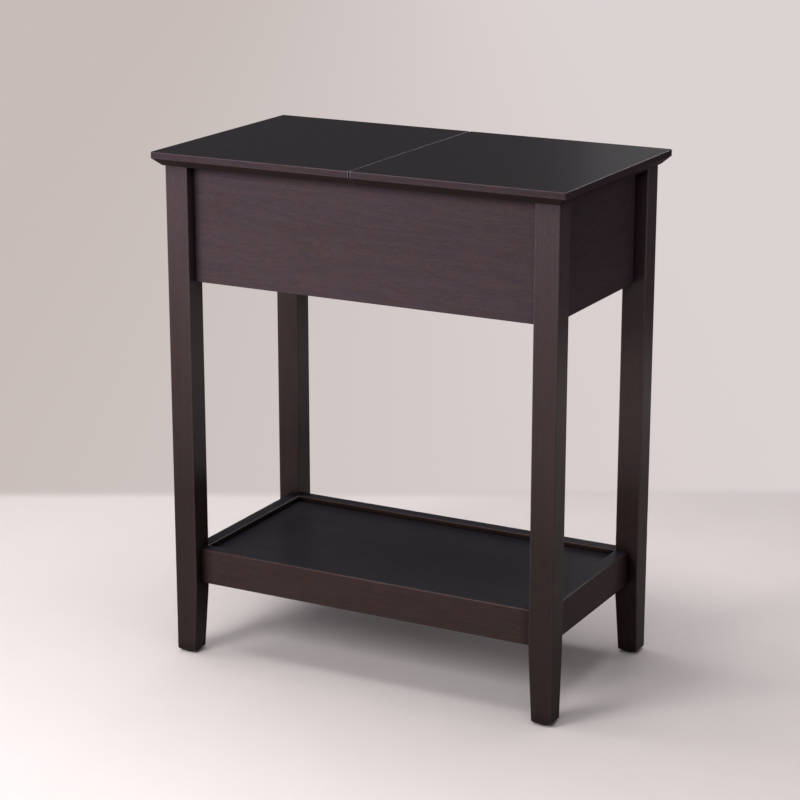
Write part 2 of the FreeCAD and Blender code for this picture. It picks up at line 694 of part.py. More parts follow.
def make_table():
    """Every sub-part of the table, in building order."""
    parts = [make_leg(corner) for corner in range(4)]
    parts += [make_apron(side) for side in range(4)]
    parts += [make_shelf_rail(side) for side in range(4)]
    parts += [make_cleat("floor", side) for side in range(4)]
    parts += [make_cleat("shelf", side) for side in range(4)]
    parts += [
        make_panel("compartment_floor", "floor"),
        make_panel("shelf_panel", "shelf"),
        make_centre_rail(),
        make_top_cleat(0),
        make_top_cleat(2),
        make_top_fixed_panel(),
        make_top_half("top_lid_panel", 0),
        make_leg_dowels("apron"),
        make_leg_dowels("rail"),
        make_centre_rail_dowels(),
        make_top_screws(),
        make_hinge_barrels("hinge_barrels_fixed", 0),
        make_hinge_barrels("hinge_barrels_lid", 2),
        make_hinge_pins("hinge_pins_fixed", 0),
        make_hinge_pins("hinge_pins_lid", 2),
        complete_links(make_outer_links(), 0),
        complete_links(make_inner_links(), 2),
        make_lid_bumpers(),
        make_foot_glides(),
    ]
    return parts


def check(parts):
    """Stops if any object failed or any sub-part is empty or invalid."""
    for item in document.Objects:
        if {"Invalid", "Error"} & set(item.State):
            raise RuntimeError(f"{item.Label} failed: {item.State}")
    for part in parts:
        if part.Shape.isNull() or not part.Shape.isValid() or not part.Shape.Solids:
            raise RuntimeError(part.Label + " has no valid shape")


def write(parts):
    os.makedirs("parts", exist_ok=True)
    for part in parts:
        part.Shape.exportStep(f"parts/{part.Label}.step")
        print(f"{part.Label}: {len(part.Shape.Solids)} solids, {part.Shape.Volume / 1000:.2f} cm3")


table = make_table()
document.recompute()
check(table)
write(table)
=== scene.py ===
"""Looks of the lift top end table: espresso lacquer, fittings and a plain studio, laid out as an add-on."""
import math

import bpy
import numpy as np
from bpy.props import FloatProperty, FloatVectorProperty, PointerProperty
from bpy.types import Operator, Panel, PropertyGroup, Scene
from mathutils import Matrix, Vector


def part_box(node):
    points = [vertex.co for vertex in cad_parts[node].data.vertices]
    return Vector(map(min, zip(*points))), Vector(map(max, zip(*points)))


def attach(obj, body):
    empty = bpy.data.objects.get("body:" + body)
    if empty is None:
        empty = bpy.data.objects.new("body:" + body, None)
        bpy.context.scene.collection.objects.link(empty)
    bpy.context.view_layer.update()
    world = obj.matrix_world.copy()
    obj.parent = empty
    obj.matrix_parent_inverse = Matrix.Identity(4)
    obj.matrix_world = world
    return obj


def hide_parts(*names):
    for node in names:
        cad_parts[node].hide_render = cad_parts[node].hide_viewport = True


bl_info = {
    "name": "Lift top end table",
    "version": (1, 0, 0),
    "blender": (4, 5, 0),
    "location": "3D View > Sidebar > End table",
    "description": "Finishes the packed end table and sets it in a plain studio",
    "category": "Object",
}

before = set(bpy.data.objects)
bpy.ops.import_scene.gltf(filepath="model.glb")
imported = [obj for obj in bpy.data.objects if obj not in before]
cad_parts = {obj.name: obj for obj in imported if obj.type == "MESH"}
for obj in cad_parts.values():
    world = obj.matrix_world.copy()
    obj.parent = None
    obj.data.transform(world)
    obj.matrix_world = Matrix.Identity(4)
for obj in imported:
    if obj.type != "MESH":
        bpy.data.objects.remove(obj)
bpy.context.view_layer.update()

MM = 0.001
X, Y, Z = 0, 1, 2
LEGS = {"leg_front_left": Z, "leg_front_right": Z, "leg_back_right": Z, "leg_back_left": Z}
APRONS = {"apron_front": X, "apron_back": X, "apron_right": Y, "apron_left": Y}
RAILS = {"shelf_rail_front": X, "shelf_rail_back": X, "shelf_rail_right": Y, "shelf_rail_left": Y}
TOP_BOARDS = {"top_fixed_panel": X, "top_lid_panel": X}
PANELS = {"shelf_panel": X, "compartment_floor": X}
BATTENS = {
    "floor_cleat_front": X, "floor_cleat_back": X, "floor_cleat_right": Y, "floor_cleat_left": Y,
    "shelf_cleat_front": X, "shelf_cleat_back": X, "shelf_cleat_right": Y, "shelf_cleat_left": Y,
    "top_cleat_front": X, "top_cleat_back": X, "centre_rail": Y,
}
DOWELS = ("apron_dowels", "rail_dowels", "centre_rail_dowels")
BARRELS = ("hinge_barrels_fixed", "hinge_barrels_lid")
LINKS = ("hinge_links_fixed", "hinge_links_lid", "hinge_pins_fixed", "hinge_pins_lid")
GRAIN_WORDS = ("grain along", "grain across", "grain upright")


# ---- colours, nodes and meshes

def linear(code):
    """Linear colour of an sRGB hex value."""
    values = [int(code[i:i + 2], 16) / 255 for i in (1, 3, 5)]
    return [v / 12.92 if v <= 0.04045 else ((v + 0.055) / 1.055) ** 2.4 for v in values]


def add_node(tree, kind, inputs=None, **settings):
    """Adds a node with its settings; each input is given a value or another node's output."""
    node = tree.nodes.new(kind)
    for name, value in settings.items():
        setattr(node, name, value)
    for socket, value in (inputs or {}).items():
        if isinstance(value, bpy.types.NodeSocket):
            tree.links.new(value, node.inputs[socket])
        else:
            node.inputs[socket].default_value = value
    return node


def rgba(colour, gain=1.0):
    """A colour, lighter or darker by the gain, with the fourth value that a colour socket takes."""
    return [gain * v for v in colour] + [1.0]


def new_material(name):
    """An empty node material with its output."""
    material = bpy.data.materials.new(name)
    material.use_nodes = True
    tree = material.node_tree
    tree.nodes.clear()
    return material, tree, add_node(tree, "ShaderNodeOutputMaterial")


def pattern(tree, place, across, along, grain, **noise):
    """Noise whose blots measure `along` down the grain and `across` over it, in metres."""
    scale = [1 / across] * 3
    scale[grain] = 1 / along
    stretched = add_node(tree, "ShaderNodeMapping", {"Vector": place, "Scale": scale})
    settings = {"Vector": stretched.outputs[0], "Scale": 1.0}
    settings.update(noise)
    return add_node(tree, "ShaderNodeTexNoise", settings).outputs[0]


def dress(node, material):
    """Puts one material in all slots of a CAD node."""
    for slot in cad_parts[node].material_slots:
        slot.material = material


def closed_surface(rings):
    """A closed skin over rings of points, shape (rings, points, 3), with a pole before the first ring
    and one after the last. The poles are the middles of those two rings. The faces are quads between
    neighbouring rings, which wrap round at the last point, and a fan of triangles at each pole."""
    count, around = rings.shape[:2]
    points = np.concatenate([rings.reshape(-1, 3), rings[0].mean(0)[None], rings[-1].mean(0)[None]])
    ring, step = np.meshgrid(np.arange(count - 1), np.arange(around), indexing="ij")
    beside = (step + 1) % around
    quads = np.stack([ring * around + step, ring * around + beside,
                      (ring + 1) * around + beside, (ring + 1) * around + step], -1).reshape(-1, 4)
    turn = np.arange(around)
    after = (turn + 1) % around
    first, last = count * around, count * around + 1
    fan_first = np.stack([after, turn, np.full(around, first)], -1)
    base = (count - 1) * around
    fan_last = np.stack([base + turn, base + after, np.full(around, last)], -1)
    return points, quads, np.concatenate([fan_first, fan_last])


def new_piece(name, parts, body, material):
    """One object made of several closed skins, riding on a body; each part is (points, quads, triangles)."""
    starts = np.cumsum([0] + [len(p[0]) for p in parts])
    points = np.concatenate([p[0] for p in parts])
    faces = [f for part, start in zip(parts, starts) for group in part[1:] for f in (group + start).tolist()]
    mesh = bpy.data.meshes.new(name)
    mesh.from_pydata(points.tolist(), [], faces)
    mesh.polygons.foreach_set("use_smooth", np.ones(len(faces), bool))
    mesh.materials.append(material)
    mesh.validate()
    piece = bpy.data.objects.new(name, mesh)
    bpy.context.scene.collection.objects.link(piece)
    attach(piece, body)
    return piece


def turned(profile, around):
    """Rings of a turned shape about the vertical: at each height, a circle of the profile's radius there."""
    angle = np.linspace(0, 2 * math.pi, around, endpoint=False)
    radius, height = np.asarray(profile, float).T
    return np.stack([radius[:, None] * np.cos(angle), radius[:, None] * np.sin(angle),
                     np.repeat(height[:, None], around, 1)], -1)


def copies(rings, places):
    """The same skin at several places."""
    return [closed_surface(rings + np.asarray(place, float)) for place in places]


# ---- settings

def colour_setting(name, note, code):
    """A colour that the user can change, given as an sRGB hex value."""
    return FloatVectorProperty(name=name, description=note, default=linear(code), size=3,
                               min=0.0, max=1.0, subtype="COLOR")


def length_setting(name, note, millimetres):
    """A length that the user can change."""
    return FloatProperty(name=name, description=note, default=millimetres * MM, min=0.0,
                         precision=5, unit="LENGTH")


def share_setting(name, note, value, top=1.0):
    """A share that the user can change."""
    return FloatProperty(name=name, description=note, default=value, min=0.0, max=top, subtype="FACTOR")


class EspressoFinish(PropertyGroup):
    """Stain and lacquer of the wooden parts."""
    frame_tone: colour_setting("Frame stain", "Stain on the aprons and the upper legs", "#5f5156")
    frame_deep: colour_setting("Frame grain", "Darker grain of the aprons and the upper legs", "#483b3f")
    # Painted shade: the lower and the foot tones make the legs darker and browner towards the floor; the
    # lower tone is also the rails' tone.
    lower_tone: colour_setting("Lower stain", "Heavier stain on the rails and the lower legs", "#4f403e")
    lower_deep: colour_setting("Lower grain", "Darker grain of the rails and the lower legs", "#3a2e2c")
    foot_shade_tone: colour_setting("Foot stain", "Heaviest stain, at the feet", "#403432")
    foot_shade_deep: colour_setting("Foot grain", "Darker grain at the feet", "#2f2523")
    undertone: colour_setting("Warm undertone", "Tint where the wood shows through the stain", "#ffe2d4")
    overtone: colour_setting("Cool overtone", "Tint where the stain lies thick", "#dce8ff")
    edge_tone: colour_setting("Edge stain", "Stain on the edges of the top and the lid", "#55484c")
    edge_deep: colour_setting("Edge grain", "Darker grain of the top's edges", "#3f3437")
    # Painted shade: the bevel faces down and is painted darker than the edge band.
    bevel_shade_tone: colour_setting("Bevel stain", "Stain on the bevel under the edges", "#463939")
    bevel_shade_deep: colour_setting("Bevel grain", "Darker grain of the bevel", "#342a2a")
    band_height: length_setting("Edge band", "Upright band of the edge, above the bevel", 7.5)
    # The faces of the top are darker than their edges: partly their own tone and partly painted shade.
    top_tone_and_shade: colour_setting("Top stain", "Stain on the faces of the top and the lid", "#242326")
    top_deep_and_shade: colour_setting("Top grain", "Darker grain of the top's faces", "#1b191d")
    panel_tone: colour_setting("Panel stain", "Stain on the shelf panel and the box bottom", "#363338")
    panel_deep: colour_setting("Panel grain", "Darker grain of the panels", "#262428")
    batten_tone: colour_setting("Batten stain", "Single coat of stain on the hidden battens", "#4a3832")
    batten_deep: colour_setting("Batten grain", "Darker grain of the battens", "#35261f")
    beech_tone: colour_setting("Beech", "Bare beech of the dowels", "#d0ab83")
    fibre_width: length_setting("Fibre width", "Width of the fine grain lines", 0.9)
    fibre_length: length_setting("Fibre length", "Length of the fine grain lines", 9)
    pore_width: length_setting("Pore width", "Width of the dark pores", 0.7)
    pore_length: length_setting("Pore length", "Length of the dark pores", 5)
    figure_width: length_setting("Figure width", "Spacing of the broad growth rings", 26)
    figure_length: length_setting("Figure length", "Length of a growth ring's arch", 320)
    cloud_size: length_setting("Cloud size", "Size of the stain's soft clouds", 9)
    cloud_strength: share_setting("Cloud strength", "How much the clouds show", 0.38)
    # The lighter edge lines are partly wear and partly painted highlight.
    top_arris: length_setting("Worn edge of the top", "Lighter line along the edges of the top", 1.3)
    leg_arris: length_setting("Worn edge of a leg", "Lighter line along the edges of a leg", 2.3)
    rail_arris: length_setting("Worn edge of a rail", "Lighter line along the edges of a rail", 3)
    # The recess reach is how far the painted shade of an inner corner spreads.
    recess_reach: length_setting("Recess reach", "How far the lacquer darkens out of an inner corner", 18)
    lacquer_roughness: share_setting("Lacquer roughness", "Roughness of the satin lacquer", 0.42)


class Fittings(PropertyGroup):
    """Metal, rubber and plastic parts."""
    brass_colour: colour_setting("Brass", "Barrels of the hinges", "#c8a560")
    nickel_colour: colour_setting("Nickel", "Links and pins of the hinges", "#b8b4ac")
    zinc_colour: colour_setting("Zinc", "Screws under the fixed half of the top", "#b9bcc0")
    silicone_colour: colour_setting("Silicone", "Pads under the lid", "#dfe3e2")
    glide_colour: colour_setting("Glide plastic", "Glides under the feet", "#2c2624")
    head_radius: length_setting("Head radius", "Rim of the screw head", 3.5)
    head_height: length_setting("Head height", "Height of the screw head", 2.2)
    recess_depth: length_setting("Recess depth", "Depth of the cross recess", 1.3)
    recess_reach: length_setting("Recess reach", "Middle of the head to the end of the cross", 1.95)
    recess_width: length_setting("Recess width", "Width of each arm of the cross", 0.85)
    shank_radius: length_setting("Shank radius", "Crest of the screw thread", 1.75)
    thread_depth: length_setting("Thread depth", "Crest to root of the screw thread", 0.45)
    thread_pitch: length_setting("Thread pitch", "Rise of the thread in one turn", 1.6)
    tip_length: length_setting("Tip length", "Point of the screw", 3)
    bumper_radius: length_setting("Bumper radius", "Pad under the lid", 4)
    bumper_height: length_setting("Bumper height", "Pad under the lid", 2)
    bumper_seam_inset: length_setting("Bumper from seam", "Pad on the centre rail to the seam", 8)
    bumper_end_inset: length_setting("Bumper from end", "Pad on the centre rail to the rail's end", 25)
    glide_radius: length_setting("Glide radius", "Disc of the foot glide", 9)
    glide_height: length_setting("Glide height", "Disc of the foot glide", 2)
    nail_radius: length_setting("Nail radius", "Nail of the foot glide", 1.2)
    nail_tip: length_setting("Nail tip", "Point of the glide's nail", 3)


class Studio(PropertyGroup):
    """Floor, backdrop, lamps and camera."""
    floor_colour: colour_setting("Floor", "Plain pale floor", "#e8dedd")
    bounce_colour: colour_setting("Floor bounce", "Tone of the light that the floor throws back", "#7c7676")
    # Painted light: the backdrop is darker on the left and lighter on the right.
    backdrop_left: colour_setting("Backdrop left", "Backdrop tone on the left", "#c7bcb8")
    backdrop_right: colour_setting("Backdrop right", "Backdrop tone on the right", "#dbd2d2")
    backdrop_start: length_setting("Backdrop start", "From the table's middle to the backdrop", 606)
    room_light: share_setting("Room light", "Strength of the even light from all round", 0.11, 2.0)
    focal_length: FloatProperty(name="Focal length", description="Lens for a 36 mm wide sensor",
                                default=108.6, min=10.0, unit="CAMERA")


# ---- wood

LACQUER_IOR = 1.5
COAT_ROUGHNESS = 0.2
RING_PHASE = 44.0  # radians of growth rings that the broad figure's full range holds
RING_STRENGTH = 0.06
FIBRE_LIMITS = (0.25, 0.75)  # the fibre noise is held between these, so that no line is fully light or dark
CLOUD_SEEN = (0.35, 0.65)  # cloud noise where the tint is coolest, and where it is warmest
PORE_SEEN = (0.62, 0.74)  # pore noise where a pore begins, and where it is deepest
PORE_SHADE = 0.8  # share of the colour that a pore keeps
CORNER_SEEN = (0.5, 0.95)  # occlusion value where the painted corner shade is darkest, and where it ends
WEAR_AND_HIGHLIGHT_SEEN = (0.9, 0.6)  # inner occlusion where the lighter edge, wear and painted highlight, begins to show, and where it shows in full
WEAR_AND_HIGHLIGHT_GAIN = 2.8  # how many times lighter an edge is painted, as wear and painted highlight
WORN_COAT_ROUGHNESS = 0.28
SHEEN_SEEN = (0.3, 0.7)  # fibre noise where the lacquer is dullest, and where it is shiniest
SHEEN_SPREAD = 0.05  # roughness that the fibres add or take
RELIEF_STRENGTH, RELIEF_DEPTH = 0.06, 0.2 * MM
FLECK_SIZE = (0.8 * MM, 2.4 * MM)  # across and along the beech
FLECK_SEEN = (0.5, 0.7)  # fleck noise where a fleck begins, and where it is darkest
FLECK_SHADE = 0.6  # share of the colour that a fleck keeps


def lacquered_wood(name, grain, finish, tone, deep, levels=(), lacquer=1.0, arris=0.0, arris_width=0.0,
                   gloss=0.005, coat=0.05, recess=0.6):
    """Rubberwood, stained espresso and sprayed with satin lacquer. The eye gets fine broken grain lines down
    the board, small dark pores, a faint arched figure, soft clouds where the stain took unevenly, a paler
    and more polished line along the edges, partly sanded wear and partly painted highlight, painted shade in
    the inner corners, and a soft sheen. The finish may change with height: each of `levels` is a height
    where it begins, the height where it is reached, its tone, its deeper grain and its coat. `lacquer`
    scales the roughness, `arris` is how much the edges are lightened and polished, `gloss` is the shine of
    the stain,
    `coat` that of the clear coat over it, and `recess` how much of its colour an inner corner keeps under
    the painted shade."""
    material, tree, output = new_material(name)
    place = add_node(tree, "ShaderNodeTexCoord").outputs["Object"]
    fibre = pattern(tree, place, finish.fibre_width, finish.fibre_length, grain, Detail=3.0, Roughness=0.6)
    # Real pores are about 0.2 mm wide: they are drawn over three times as wide so that they show.
    pore = pattern(tree, place, finish.pore_width, finish.pore_length, grain, Detail=1.0)
    figure = pattern(tree, place, finish.figure_width, finish.figure_length, grain, Detail=1.0,
                     Distortion=0.4)
    cloud = pattern(tree, place, finish.cloud_size, 1.5 * finish.cloud_size, grain, Detail=2.0,
                    Roughness=0.6)
    phase = add_node(tree, "ShaderNodeMath", {0: figure, 1: RING_PHASE}, operation="MULTIPLY")
    rings = add_node(tree, "ShaderNodeMath", {0: phase.outputs[0]}, operation="SINE")
    lines = add_node(tree, "ShaderNodeMapRange", {
        "Value": fibre, "From Min": FIBRE_LIMITS[0], "From Max": FIBRE_LIMITS[1],
        "To Min": FIBRE_LIMITS[0], "To Max": FIBRE_LIMITS[1]})
    depth = add_node(tree, "ShaderNodeMath", {
        0: rings.outputs[0], 1: RING_STRENGTH, 2: lines.outputs[0]},
        operation="MULTIPLY_ADD", use_clamp=True).outputs[0]
    colour = add_node(tree, "ShaderNodeMix", {0: depth, 6: rgba(deep), 7: rgba(tone)},
                      data_type="RGBA").outputs[2]
    height = add_node(tree, "ShaderNodeSeparateXYZ", {0: place}).outputs[2]
    for start, reached, level_tone, level_deep, level_coat in levels:
        share = add_node(tree, "ShaderNodeMapRange", {
            "Value": height, "From Min": start, "From Max": reached}).outputs[0]
        coat = add_node(tree, "ShaderNodeMapRange", {
            "Value": share, "To Min": coat, "To Max": level_coat}).outputs[0]
        upper = add_node(tree, "ShaderNodeMix", {0: depth, 6: rgba(level_deep), 7: rgba(level_tone)},
                         data_type="RGBA")
        colour = add_node(tree, "ShaderNodeMix", {0: share, 6: colour, 7: upper.outputs[2]},
                          data_type="RGBA").outputs[2]
    warmth = add_node(tree, "ShaderNodeMapRange", {
        "Value": cloud, "From Min": CLOUD_SEEN[0], "From Max": CLOUD_SEEN[1]})
    tint = add_node(tree, "ShaderNodeMix", {
        0: warmth.outputs[0], 6: rgba(finish.overtone), 7: rgba(finish.undertone)}, data_type="RGBA")
    colour = add_node(tree, "ShaderNodeMix", {0: finish.cloud_strength, 6: colour, 7: tint.outputs[2]},
                      data_type="RGBA", blend_type="MULTIPLY").outputs[2]
    pits = add_node(tree, "ShaderNodeMapRange", {
        "Value": pore, "From Min": PORE_SEEN[0], "From Max": PORE_SEEN[1], "To Min": 1.0,
        "To Max": PORE_SHADE}).outputs[0]
    colour = add_node(tree, "ShaderNodeMix", {0: 1.0, 6: colour, 7: pits},
                      data_type="RGBA", blend_type="MULTIPLY").outputs[2]
    # Painted shade: the colour is darkened in inner corners and recesses, out to the recess reach.
    corner = add_node(tree, "ShaderNodeAmbientOcclusion", {"Distance": finish.recess_reach}, samples=4)
    painted_corner_shade = add_node(tree, "ShaderNodeMapRange", {
        "Value": corner.outputs["AO"], "From Min": CORNER_SEEN[0], "From Max": CORNER_SEEN[1],
        "To Min": recess, "To Max": 1.0})
    colour = add_node(tree, "ShaderNodeMix", {0: 1.0, 6: colour, 7: painted_corner_shade.outputs[0]},
                      data_type="RGBA", blend_type="MULTIPLY").outputs[2]
    coat_roughness = COAT_ROUGHNESS
    if arris:
        edge = add_node(tree, "ShaderNodeAmbientOcclusion", {"Distance": arris_width}, samples=12,
                        inside=True, only_local=True).outputs["AO"]
        wear_and_painted_highlight = add_node(tree, "ShaderNodeMapRange", {
            "Value": edge, "From Min": WEAR_AND_HIGHLIGHT_SEEN[0], "From Max": WEAR_AND_HIGHLIGHT_SEEN[1], "To Min": 0.0,
            "To Max": arris}).outputs[0]
        coat = add_node(tree, "ShaderNodeMapRange", {
            "Value": edge, "From Min": WEAR_AND_HIGHLIGHT_SEEN[0], "From Max": WEAR_AND_HIGHLIGHT_SEEN[1], "To Min": coat,
            "To Max": arris}).outputs[0]
        coat_roughness = add_node(tree, "ShaderNodeMapRange", {
            "Value": wear_and_painted_highlight, "To Min": COAT_ROUGHNESS, "To Max": WORN_COAT_ROUGHNESS}).outputs[0]
        # Painted highlight: the edges are painted lighter, partly as sanded wear and partly as a highlight.
        lighter = add_node(tree, "ShaderNodeVectorMath", {0: colour, "Scale": WEAR_AND_HIGHLIGHT_GAIN}, operation="SCALE")
        colour = add_node(tree, "ShaderNodeMix", {0: wear_and_painted_highlight, 6: colour, 7: lighter.outputs[0]},
                          data_type="RGBA").outputs[2]
    rough = finish.lacquer_roughness * lacquer
    sheen = add_node(tree, "ShaderNodeMapRange", {
        "Value": fibre, "From Min": SHEEN_SEEN[0], "From Max": SHEEN_SEEN[1],
        "To Min": rough + SHEEN_SPREAD, "To Max": rough - SHEEN_SPREAD})
    relief = add_node(tree, "ShaderNodeMath", {0: fibre, 1: pits}, operation="MULTIPLY")
    bump = add_node(tree, "ShaderNodeBump", {
        "Strength": RELIEF_STRENGTH, "Distance": RELIEF_DEPTH, "Height": relief.outputs[0]})
    shader = add_node(tree, "ShaderNodeBsdfPrincipled", {
        "Base Color": colour, "Roughness": sheen.outputs[0], "IOR": LACQUER_IOR,
        "Specular IOR Level": gloss, "Coat Weight": coat, "Coat Roughness": coat_roughness,
        "Normal": bump.outputs[0]})
    tree.links.new(shader.outputs[0], output.inputs[0])
    return material


def finish_boards(boards, label, finish, **look):
    """Gives each board the material whose grain runs its way."""
    for grain in sorted(set(boards.values())):
        material = lacquered_wood(f"{label}, {GRAIN_WORDS[grain]}", grain, finish, **look)
        for board in (b for b, way in boards.items() if way == grain):
            dress(board, material)


def bare_beech(tone):
    """Beech dowel rod, turned and left bare. The eye gets a pale pinkish tan with short brown flecks."""
    material, tree, output = new_material("Bare beech, turned")
    place = add_node(tree, "ShaderNodeTexCoord").outputs["Object"]
    fleck = pattern(tree, place, *FLECK_SIZE, X, Detail=2.0)
    spots = add_node(tree, "ShaderNodeMapRange", {
        "Value": fleck, "From Min": FLECK_SEEN[0], "From Max": FLECK_SEEN[1]})
    colour = add_node(tree, "ShaderNodeMix", {
        0: spots.outputs[0], 6: rgba(tone), 7: rgba(tone, FLECK_SHADE)}, data_type="RGBA")
    bump = add_node(tree, "ShaderNodeBump", {"Strength": 0.2, "Distance": 0.1 * MM, "Height": fleck})
    shader = add_node(tree, "ShaderNodeBsdfPrincipled", {
        "Base Color": colour.outputs[2], "Roughness": 0.7, "IOR": 1.5, "Normal": bump.outputs[0]})
    tree.links.new(shader.outputs[0], output.inputs[0])
    return material


# ---- metals, silicone and plastic

HOLLOW_SHADE = 0.8  # share of the colour that the hollows of a metal keep
HOLLOW_SEEN = (0.3, 0.7)  # grain noise where a hollow is dullest, and where a ridge is shiniest
HOLLOW_SPREAD = 0.08  # roughness that the hollows add and the ridges lose
MOULD_CLOUD = 3 * MM  # across a cloud in a moulding
MOULD_SHADE = 0.85  # share of the colour at the dark end of the cloudiness
# The mould's texture is about 0.1 mm: it is drawn at 0.5 mm so that it shows.
MOULD_SPARK = 0.5 * MM


def machined_metal(name, colour, roughness, mark, depth):
    """A metal with fine tool marks or plating grain. The eye gets a soft metallic shine that breaks up in
    marks of the given size, a little duller in the hollows."""
    material, tree, output = new_material(name)
    place = add_node(tree, "ShaderNodeTexCoord").outputs["Object"]
    grain = pattern(tree, place, mark, mark, X, Detail=3.0, Roughness=0.6)
    tint = add_node(tree, "ShaderNodeMix", {0: grain, 6: rgba(colour, HOLLOW_SHADE), 7: rgba(colour)},
                    data_type="RGBA")
    shine = add_node(tree, "ShaderNodeMapRange", {
        "Value": grain, "From Min": HOLLOW_SEEN[0], "From Max": HOLLOW_SEEN[1],
        "To Min": roughness + HOLLOW_SPREAD, "To Max": roughness - HOLLOW_SPREAD})
    bump = add_node(tree, "ShaderNodeBump", {"Strength": 0.3, "Distance": depth, "Height": grain})
    shader = add_node(tree, "ShaderNodeBsdfPrincipled", {
        "Base Color": tint.outputs[2], "Metallic": 1.0, "Roughness": shine.outputs[0],
        "Normal": bump.outputs[0]})
    tree.links.new(shader.outputs[0], output.inputs[0])
    return material


def moulded_plastic(name, colour, roughness, ior, clear):
    """A moulded plastic or rubber. The eye gets an even tone with a faint cloudiness, and a dull sheen
    broken by the mould's fine sparked texture."""
    material, tree, output = new_material(name)
    place = add_node(tree, "ShaderNodeTexCoord").outputs["Object"]
    cloud = pattern(tree, place, MOULD_CLOUD, MOULD_CLOUD, X, Detail=2.0)
    spark = pattern(tree, place, MOULD_SPARK, MOULD_SPARK, X, Detail=1.0)
    tint = add_node(tree, "ShaderNodeMix", {0: cloud, 6: rgba(colour, MOULD_SHADE), 7: rgba(colour)},
                    data_type="RGBA")
    bump = add_node(tree, "ShaderNodeBump", {"Strength": 0.25, "Distance": 0.1 * MM, "Height": spark})
    shader = add_node(tree, "ShaderNodeBsdfPrincipled", {
        "Base Color": tint.outputs[2], "Roughness": roughness, "IOR": ior, "Transmission Weight": clear,
        "Normal": bump.outputs[0]})
    tree.links.new(shader.outputs[0], output.inputs[0])
    return material


# ---- pieces

class ENDTABLE_OT_legs(Operator):
    """Stain and lacquer the legs, painted darker towards the feet as shade"""
    bl_idname = "endtable.legs"
    bl_label = "Legs"

    def execute(self, context):
        finish = context.scene.endtable_finish
        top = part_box("leg_front_left")[1].z
        # Painted light and shade: the legs are lighter and more mauve at the top, and darker and browner
        # towards the feet.
        finish_boards(LEGS, "Espresso rubberwood leg, satin lacquer", finish, tone=finish.foot_shade_tone,
                      deep=finish.foot_shade_deep, arris=0.9, arris_width=finish.leg_arris, coat=0.22, recess=0.12,
                      levels=[(0.35 * top, 0.6 * top, finish.lower_tone, finish.lower_deep, 0.42),
                              (0.6 * top, 0.95 * top, finish.frame_tone, finish.frame_deep, 0.45)])
        return {"FINISHED"}


class ENDTABLE_OT_aprons(Operator):
    """Stain and lacquer the four boards of the box"""
    bl_idname = "endtable.aprons"
    bl_label = "Aprons"

    def execute(self, context):
        finish = context.scene.endtable_finish
        finish_boards(APRONS, "Espresso rubberwood apron, satin lacquer", finish, tone=finish.frame_tone,
                      deep=finish.frame_deep, arris=0.35, arris_width=finish.top_arris, coat=0.13,
                      recess=0.85)
        return {"FINISHED"}


class ENDTABLE_OT_rails(Operator):
    """Stain and lacquer the four rails of the shelf"""
    bl_idname = "endtable.rails"
    bl_label = "Shelf rails"

    def execute(self, context):
        finish = context.scene.endtable_finish
        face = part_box("shelf_rail_front")[1].z
        # Painted shade: the rails' top faces are given the shelf panel's dark tone.
        finish_boards(RAILS, "Espresso rubberwood rail, satin lacquer", finish, tone=finish.lower_tone,
                      deep=finish.lower_deep, arris=0.4, arris_width=finish.rail_arris, coat=0.1,
                      recess=0.05, levels=[
                          (face - 0.5 * MM, face - 0.1 * MM, finish.panel_tone, finish.panel_deep, 0.02)])
        return {"FINISHED"}


class ENDTABLE_OT_top_boards(Operator):
    """Stain and lacquer the fixed half of the top and the lid, with the bevel painted darker as shade and
    the faces darker than the edges, partly their own tone and partly painted shade
    """
    bl_idname = "endtable.top_boards"
    bl_label = "Top and lid"

    def execute(self, context):
        finish = context.scene.endtable_finish
        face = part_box("top_fixed_panel")[1].z
        band = face - finish.band_height
        # Painted shade: the bevel is darkest and the faces darker than the band, the faces partly by their
        # own tone.
        finish_boards(TOP_BOARDS, "Espresso top board, satin lacquer", finish, tone=finish.bevel_shade_tone,
                      deep=finish.bevel_shade_deep, arris=1.0, arris_width=finish.top_arris, gloss=0.002,
                      coat=0.02, levels=[
                          (band - 0.3 * MM, band, finish.edge_tone, finish.edge_deep, 0.02),
                          (face - 0.2 * MM, face - 0.05 * MM, finish.top_tone_and_shade, finish.top_deep_and_shade, 0.02)])
        return {"FINISHED"}


class ENDTABLE_OT_panels(Operator):
    """Stain and lacquer the shelf panel and the bottom of the box"""
    bl_idname = "endtable.panels"
    bl_label = "Shelf panel and box bottom"

    def execute(self, context):
        finish = context.scene.endtable_finish
        finish_boards(PANELS, "Espresso panel, satin lacquer", finish, tone=finish.panel_tone,
                      deep=finish.panel_deep, coat=0.03, recess=0.5)
        return {"FINISHED"}


class ENDTABLE_OT_battens(Operator):
    """Stain the battens and the centre rail, and leave the dowels bare"""
    bl_idname = "endtable.battens"
    bl_label = "Battens and dowels"

    def execute(self, context):
        finish = context.scene.endtable_finish
        finish_boards(BATTENS, "Espresso batten, one coat", finish, tone=finish.batten_tone,
                      deep=finish.batten_deep, lacquer=1.4)
        beech = bare_beech(finish.beech_tone)
        for node in DOWELS:
            dress(node, beech)
        return {"FINISHED"}


class ENDTABLE_OT_hinges(Operator):
    """Finish the brass barrels, the links and the pins of the hinges"""
    bl_idname = "endtable.hinges"
    bl_label = "Concealed hinges"

    def execute(self, context):
        fittings = context.scene.endtable_fittings
        brass = machined_metal("Turned brass, satin", fittings.brass_colour, roughness=0.32,
                               mark=0.6 * MM, depth=0.03 * MM)
        nickel = machined_metal("Nickel plated steel, stamped", fittings.nickel_colour, roughness=0.28,
                                mark=0.8 * MM, depth=0.02 * MM)
        for node in BARRELS:
            dress(node, brass)
        for node in LINKS:
            dress(node, nickel)
        return {"FINISHED"}


